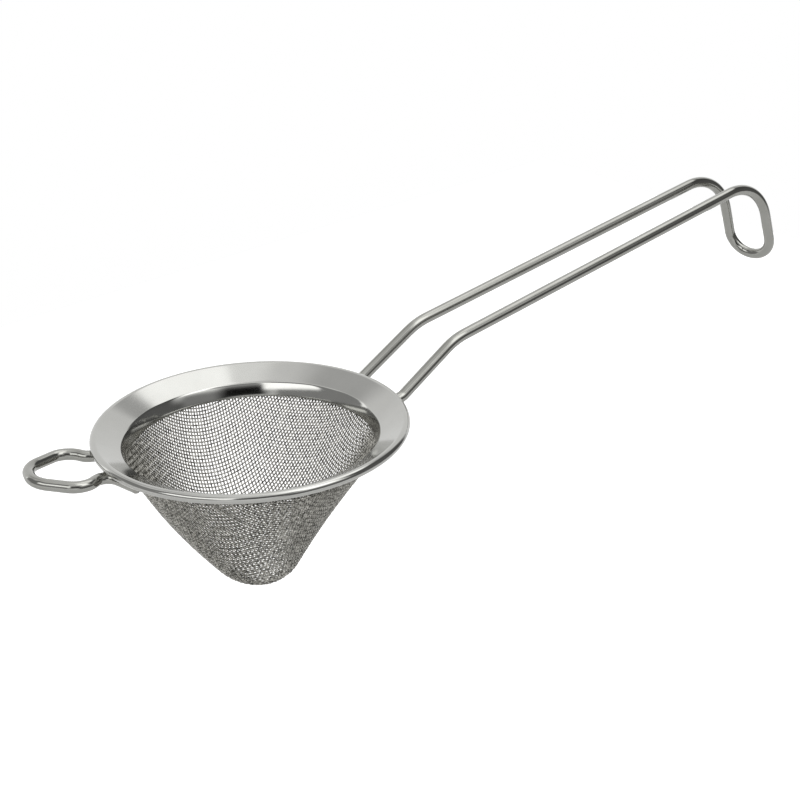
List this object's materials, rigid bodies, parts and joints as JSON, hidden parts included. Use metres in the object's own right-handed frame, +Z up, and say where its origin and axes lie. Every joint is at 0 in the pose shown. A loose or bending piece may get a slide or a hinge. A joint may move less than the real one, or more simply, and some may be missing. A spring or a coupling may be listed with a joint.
{
  "type": "small conical fine-mesh strainer",
  "caption": "Small conical fine-mesh strainer of polished steel, with a dished rim, a long bent-wire handle ending in a hook, and a wire rest loop at the front.",
  "frame": {"origin": "centre of the rim's circle, at the height of the middle of its bead", "axes": "+Z up the cone's axis, out of the bowl's mouth; +X out along the handle; +Y completes a right-handed frame"},
  "size_m": [0.2593, 0.086, 0.0715],
  "materials": {
    "rim_steel": "mirror-polished pressed stainless steel sheet",
    "wire_steel": "polished stainless steel wire",
    "cloth_steel": "plain-woven stainless steel wire cloth, bright drawn wire",
    "weld_steel": "spot weld, slightly tarnished"
  },
  "bodies": {
    "root": {"rim_flange": "rim_steel", "mesh_cone": "cloth_steel", "retaining_ring": "rim_steel", "handle_wire": "wire_steel", "rest_loop": "wire_steel", "handle_welds": "weld_steel", "loop_welds": "weld_steel"}
  },
  "joints": []
}
